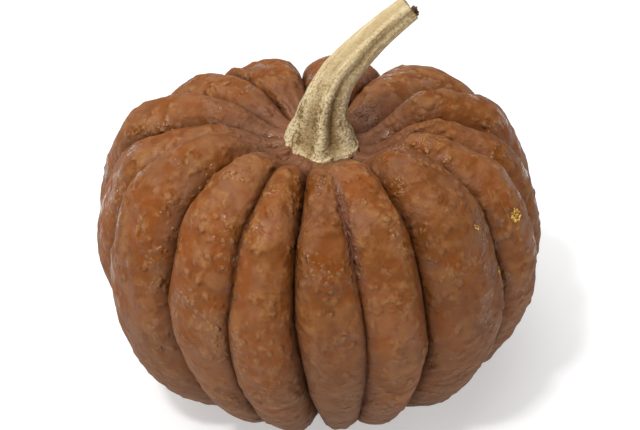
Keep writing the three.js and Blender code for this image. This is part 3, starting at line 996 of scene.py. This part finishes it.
# %% The layers of cork
def cork_colour(tree, place, fact, grains):
    """The stem's colour: crumbs, grains and fibres, then painted shade in the valleys and the groove, and
    the cracks, pits and cut.
    """
    clouds = patches(tree, place, 9, 0.4, 0.6)
    crumbs = patches(tree, place, 2.2, 0.47, 0.6)
    crumbs = add(tree, "ShaderNodeMath", {0: crumbs, 1: fact["rough"]}, operation="MULTIPLY")
    pale = add(tree, "ShaderNodeMapRange", {"Value": grains, "From Min": 0.5, "From Max": 0.62})
    pale = add(tree, "ShaderNodeMath", {0: pale, 1: fact["rough"]}, operation="MULTIPLY")
    pits = add(tree, "ShaderNodeMapRange", {"Value": grains, "From Min": 0.44, "From Max": 0.34})
    inputs = {"Value": fact["rough"], "To Min": 0.1, "To Max": 0.75}
    many = add(tree, "ShaderNodeMapRange", inputs)
    pits = add(tree, "ShaderNodeMath", {0: pits, 1: many}, operation="MULTIPLY")
    inputs = {"Value": fact["fibre"], "From Min": 0.0, "From Max": -0.2, "To Max": 0.7}
    fibres = add(tree, "ShaderNodeMapRange", inputs)
    inputs = {"Value": fact["fibre"], "From Min": 0.0, "From Max": -0.12}
    cracks = add(tree, "ShaderNodeMapRange", inputs)
    broken = patches(tree, place, 1.6, 0.44, 0.54)
    cracks = add(tree, "ShaderNodeMath", {0: cracks, 1: broken}, operation="MULTIPLY")
    cracks = add(tree, "ShaderNodeMath", {0: cracks, 1: fact["rough"]}, operation="MULTIPLY")
    # Painted shade: the valleys between the stem's ridges and its deep groove are coloured darker
    inputs = {"Value": fact["ridge"], "From Min": 0.0, "From Max": 0.1, "To Max": 0.75}
    painted_valley_shade = add(tree, "ShaderNodeMapRange", inputs)
    painted_groove_shade = add(tree, "ShaderNodeMapRange", {"Value": fact["groove"], "From Max": 0.16, "To Max": 0.6})
    crust = patches(tree, place, 4, 0.42, 0.55)
    inputs = {"Value": fact["rise"], "From Min": 0.26, "From Max": 0.12, "To Max": 0.9}
    at_seat = add(tree, "ShaderNodeMapRange", inputs)
    at_seat = add(tree, "ShaderNodeMath", {0: at_seat, 1: crust}, operation="MULTIPLY")
    cut = add(tree, "ShaderNodeMapRange", {"Value": fact["rise"], "From Min": 0.985, "From Max": 1.0})
    layers = [
        (clouds, "D8C69E"),
        # The grainy side by the groove is darker: partly the cork's own grain, partly painted shade
        (fact["side"], "BCA174"),
        (crumbs, "C2A677"),
        (pale, "EADDBB"),
        (at_seat, "E4D3A6"),
        (fibres, "AE946A"),
        (painted_valley_shade, "96794B"),
        (painted_groove_shade, "8A6D42"),
        (cracks, "846A3E"),
        (pits, "6F5630"),
        (cut, "6B5C34"),
    ]
    ground = add(tree, "ShaderNodeRGB")
    ground.outputs[0].default_value = linear("CDB88C")
    return layered(tree, ground.outputs[0], layers)


# %% [markdown]
# ## The cork put together
# The same fine noise gives the cork its pits and pale grains, its relief and its roughness, so that what
# looks like a pit is one in all three.

# %% The cork's material
# Dry cork: chalky and grainy to the eye, with the light broken up by pits
def cork_material():
    """The cork: its colour, and a roughness and a relief that both follow its grains."""
    material, tree, shader = new_material("dry_stem_cork")
    place = add(tree, "ShaderNodeTexCoord").outputs["Object"]
    fact = {
        key: add(tree, "ShaderNodeAttribute", attribute_name=key).outputs["Fac"]
        for key in ("rise", "groove", "ridge", "rough", "fibre", "side")
    }
    grains = add(tree, "ShaderNodeTexNoise", {"Vector": place, "Scale": every(0.9), "Detail": 4.0})
    tree.links.new(cork_colour(tree, place, fact, grains), shader.inputs["Base Color"])
    bump = add(tree, "ShaderNodeBump", {"Height": grains, "Distance": 0.6 * MM, "Strength": 0.8})
    tree.links.new(bump.outputs[0], shader.inputs["Normal"])
    inputs = {"Value": grains, "From Min": 0.3, "From Max": 0.7, "To Min": 0.95, "To Max": 0.72}
    rough = add(tree, "ShaderNodeMapRange", inputs)
    tree.links.new(rough.outputs[0], shader.inputs["Roughness"])
    shader.inputs["Specular IOR Level"].default_value = 0.3
    return material


cork = cork_material()
print("cork material", cork.name, "with", len(cork.node_tree.nodes), "nodes")

# %% [markdown]
# ## The stem itself
# The stem is made as the fruit was: the tree runs on its net, and its line is deleted.

# %% The stem
stem = run_tree("corky_stem", stem_net, stem_tree(cork), {**stem_inputs, "Material": cork})
bpy.data.objects.remove(stem_line)

# %% [markdown]
# ## Scabs and shreds
# Where something nicked the skin, sap has dried to a crust of golden crumbs, and a dark shred and some olive
# specks are left where the stem was cut. All are flakes that sit close together on a spot of a surface, so
# one tree makes them: it strews points over the spot and puts a small chip on each, turned and sized at
# random. Points are strewn on whole faces, so the tree takes every face near the spot and then deletes the
# points outside it. The lift raises a chip, but never by more than half its own height, so it stays sunk in.

# %% The flakes' tree
LONGEST_FACE = 5 * MM
CHIP_LONG, CHIP_WIDE = 0.5, 0.35
CHIP_TILT, CHIP_SPIN = 0.7, 6.28
flake_inputs = {
    "Surface": fruit,
    "Spot": (0.0, 0.0, 0.0),
    "Radius": 2.2 * MM,
    "Spacing": 0.6 * MM,
    "Flake Size": 1.0 * MM,
    "Flatness": 0.35,
    "Lift": 0.0,
    "Seed": 3,
}


def flake_tree(material):
    """The tree that strews flakes over a spot of a surface."""
    tree, given = new_tree("Flakes on a spot", {**flake_inputs, "Material": material})
    value = given.outputs
    surface = add(tree, "GeometryNodeObjectInfo", {"Object": value["Surface"]})
    position = add(tree, "GeometryNodeInputPosition")
    away = add(tree, "ShaderNodeVectorMath", {0: position, 1: value["Spot"]}, operation="DISTANCE")
    reach = add(tree, "ShaderNodeMath", {0: value["Radius"], 1: LONGEST_FACE}, operation="ADD")
    nearby = add(tree, "FunctionNodeCompare", {"A": away, "B": reach}, operation="LESS_THAN")
    each = add(tree, "ShaderNodeMath", {0: value["Spacing"], 1: -2.0}, operation="POWER")
    body = surface.outputs["Geometry"]
    inputs = {"Mesh": body, "Selection": nearby, "Density": each, "Seed": value["Seed"]}
    strewn = add(tree, "GeometryNodeDistributePointsOnFaces", inputs)
    outside = add(tree, "FunctionNodeCompare", {"A": away, "B": value["Radius"]}, operation="GREATER_THAN")
    inputs = {"Geometry": strewn.outputs["Points"], "Selection": outside}
    points = add(tree, "GeometryNodeDeleteGeometry", inputs, domain="POINT")
    chip = add(tree, "GeometryNodeMeshIcoSphere", {"Radius": value["Flake Size"], "Subdivisions": 1})
    flat = add(tree, "ShaderNodeCombineXYZ", {"X": CHIP_LONG, "Y": CHIP_WIDE, "Z": value["Flatness"]})
    lift = add(tree, "ShaderNodeCombineXYZ", {"Z": value["Lift"]})
    chip = add(tree, "GeometryNodeTransform", {"Geometry": chip, "Scale": flat, "Translation": lift})
    inputs = {"Min": (-CHIP_TILT, -CHIP_TILT, 0.0), "Max": (CHIP_TILT, CHIP_TILT, CHIP_SPIN)}
    turn = add(tree, "FunctionNodeRandomValue", inputs, data_type="FLOAT_VECTOR")
    turn = add(tree, "FunctionNodeEulerToRotation", {"Euler": turn})
    inputs = {"Rotation": strewn.outputs["Rotation"], "Rotate By": turn}
    turn = add(tree, "FunctionNodeRotateRotation", inputs, rotation_space="LOCAL")
    sizes = add(tree, "FunctionNodeRandomValue", {"Min": 0.5, "Max": 1.1})
    inputs = {"Points": points, "Instance": chip, "Rotation": turn, "Scale": sizes}
    flakes = add(tree, "GeometryNodeInstanceOnPoints", inputs)
    finish_tree(tree, flakes, value["Material"])
    return tree


# %% [markdown]
# ## Dried sap, bark and skin
# The flakes are three kinds of dried plant matter. Each has a pale and a dark colour in patches about as
# wide as a flake, so that neighbours differ.

# %% What the flakes are made of
def flake_material(name, pale, dark):
    """Dried plant matter: two colours that change from flake to flake, and a dull surface."""
    material, tree, shader = new_material(name)
    place = add(tree, "ShaderNodeTexCoord").outputs["Object"]
    ground = add(tree, "ShaderNodeRGB")
    ground.outputs[0].default_value = linear(pale)
    colour = layered(tree, ground.outputs[0], [(patches(tree, place, 0.9, 0.45, 0.55), dark)])
    tree.links.new(colour, shader.inputs["Base Color"])
    shader.inputs["Roughness"].default_value = 0.6
    return material


# Dried sap is hard, clear and golden, like old varnish crumbs
golden = flake_material("golden_sap_crust", "DDB653", "A87A2A")
# A torn end of stem dries dark brown, like bark
shred = flake_material("dark_stem_shred", "6E4630", "3E2618")
# Bits of the stem's skin keep a dull green
olive = flake_material("olive_stem_specks", "6A6434", "3C3A1C")
print("flakes of", ", ".join(material.name for material in (golden, shred, olive)))

# %% [markdown]
# ## Places for the flakes
# A spot on the fruit is found by sending a ray at the skin from outside, at an azimuth and a height. The
# spots on the stem are measured from the middle of its cut.

# %% Each scab and shred
OUTSIDE = 0.3


def on_skin(azimuth, height):
    """The place on the skin at an azimuth in degrees and a height in mm, looked for from outside."""
    around = math.radians(azimuth)
    outward = Vector((math.sin(around), -math.cos(around), 0))
    start = Vector((axis.x, axis.y, height * MM)) + OUTSIDE * outward
    return fruit.ray_cast(start, -outward)[1]


bpy.context.view_layer.update()
cut_middle = Vector(STEM_LINE[-1]) * MM + Vector(foot_middle)
print("the middle of the cut is", round(cut_middle.z / MM, 1), "mm up")
# Each spot: surface, place and material, then radius, spacing, flake size and lift in mm, and flatness
flake_spots = {
    "scab_large": (fruit, on_skin(62, 96), golden, (2.7, 0.7, 1.5, 0), 0.35),
    "scab_below": (fruit, on_skin(60.7, 91.3), golden, (0.7, 0.6, 0.7, 0), 0.35),
    "scab_on_flank": (fruit, on_skin(45.2, 104.9), golden, (1.6, 0.9, 1, 0), 0.35),
    "scab_in_furrow": (fruit, on_skin(50.9, 80.6), golden, (1.5, 0.8, 1, 0), 0.35),
    "cut_shred": (stem, cut_middle + Vector((1.3, -0.9, -1.5)) * MM, shred, (1.4, 0.6, 1.9, 1), 0.8),
    "cut_specks": (stem, cut_middle + Vector((-1.5, 1, 1.6)) * MM, olive, (3.4, 1.2, 1, 0.25), 0.35),
}
flakes = []
for name, (surface, spot, material, measures, flatness) in flake_spots.items():
    inputs = {"Surface": surface, "Spot": tuple(spot), "Flatness": flatness, "Material": material}
    for key, size in zip(("Radius", "Spacing", "Flake Size", "Lift"), measures):
        inputs[key] = size * MM
    source = bpy.data.objects.new(name + "_source", bpy.data.meshes.new(name))
    bpy.context.scene.collection.objects.link(source)
    flakes.append(run_tree(name, source, flake_tree(material), {**flake_inputs, **inputs}))

# %% [markdown]
# ## The floor
# A pale, plain table keeps the attention on the squash. It is matt paper, and it glows a little, which keeps
# it white and the shadow on it faint. It is wide enough that its edge never shows from a low view.

# %% The floor
FLOOR_REACH = 30.0
FLOOR_GLOW = 0.45


def flat_sheet(name, reach):
    """A flat square on the ground, whose sides are this far from the middle in metres."""
    mesh = bpy.data.meshes.new(name)
    corners = [(-reach, -reach, 0), (reach, -reach, 0), (reach, reach, 0), (-reach, reach, 0)]
    mesh.from_pydata(corners, [], [(0, 1, 2, 3)])
    obj = bpy.data.objects.new(name, mesh)
    bpy.context.scene.collection.objects.link(obj)
    return obj


floor = flat_sheet("floor", FLOOR_REACH)
# Uncoated paper: flat white with no shine
paper, _, paper_shader = new_material("white_paper")
paper_shader.inputs["Base Color"].default_value = linear("D4D4D4")
paper_shader.inputs["Roughness"].default_value = 0.9
paper_shader.inputs["Emission Color"].default_value = linear("FFFFFF")
paper_shader.inputs["Emission Strength"].default_value = FLOOR_GLOW
floor.data.materials.append(paper)
print("floor", 2 * FLOOR_REACH, "m wide")

# %% [markdown]
# ## Light
# A large light overhead shapes the lobes softly, and the sky fills the shadows. A weak one in front opens up
# the lower half. A large light gives no points of gloss, because each bead spreads it out, so a small key
# light from the front left does that.

# %% The sky and the lights
SKY_STRENGTH = 0.25
LOOK_AT = Vector((0, 0, 60 * MM))
world = bpy.data.worlds.new("sky")
world.use_nodes = True
bpy.context.scene.world = world
sky = world.node_tree.nodes["Background"]
sky.inputs["Color"].default_value = (1, 1, 1, 1)
sky.inputs["Strength"].default_value = SKY_STRENGTH


def soft_light(name, place, size, power):
    """A square light that looks at the squash. Its size is in metres and its power in watts."""
    data = bpy.data.lights.new(name, "AREA")
    data.size = size
    data.energy = power
    obj = bpy.data.objects.new(name, data)
    obj.location = place
    obj.rotation_euler = (LOOK_AT - Vector(place)).to_track_quat("-Z", "Y").to_euler()
    bpy.context.scene.collection.objects.link(obj)
    print(name, "light of", power, "W and", size, "m")


soft_light("overhead", (-0.25, 0.15, 1.5), 1.8, 20)
soft_light("front", (0.0, -1.6, 0.8), 1.2, 1.5)
soft_light("key", (-0.4, -0.5, 1.3), 0.17, 9.5)
bpy.context.scene.view_settings.view_transform = "Standard"

# %% [markdown]
# ## The camera
# The camera looks down at the squash from the front with a long lens, rolled a little to one side. It stands
# where it would to look straight at a target in the middle of the squash, and then it looks a touch higher,
# which leaves the stem in view.

# %% The camera
TARGET = Vector((0.8 * MM, 0, 56 * MM))
DISTANCE = 715 * MM
ELEVATION = math.radians(36.5)
ROLL = math.radians(-2.8)
LOOK_UP = 12.1 * MM
LENS = 93.15
right_way = Vector((1, 0, 0))
up_way = Vector((0, math.sin(ELEVATION), math.cos(ELEVATION)))
stand = TARGET + DISTANCE * Vector((0, -math.cos(ELEVATION), math.sin(ELEVATION)))
tilted = math.cos(ROLL) * up_way - math.sin(ROLL) * right_way
to_aim = (TARGET + LOOK_UP * tilted - stand).normalized()
sideways = to_aim.cross(tilted).normalized()
upright = sideways.cross(to_aim)
turned = Matrix((sideways, upright, -to_aim)).transposed().to_4x4()
camera_data = bpy.data.cameras.new("camera")
camera_data.lens = LENS
camera_data.clip_start = 50 * MM
camera = bpy.data.objects.new("camera", camera_data)
camera.matrix_world = Matrix.Translation(stand) @ turned
bpy.context.scene.collection.objects.link(camera)
bpy.context.scene.camera = camera
print("the camera is", [round(v / MM) for v in stand], "mm from the middle of the floor")

# %% [markdown]
# ## Riding on the root
# Every piece is told which body it moves with, and the construction's parts that they replace are hidden.

# %% Riding
for piece, node, slot in ((fruit, "fruit", "skin"), (stem, "stem", "cork")):
    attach(piece, "root")
    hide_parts(node)
for piece in flakes:
    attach(piece, "root")
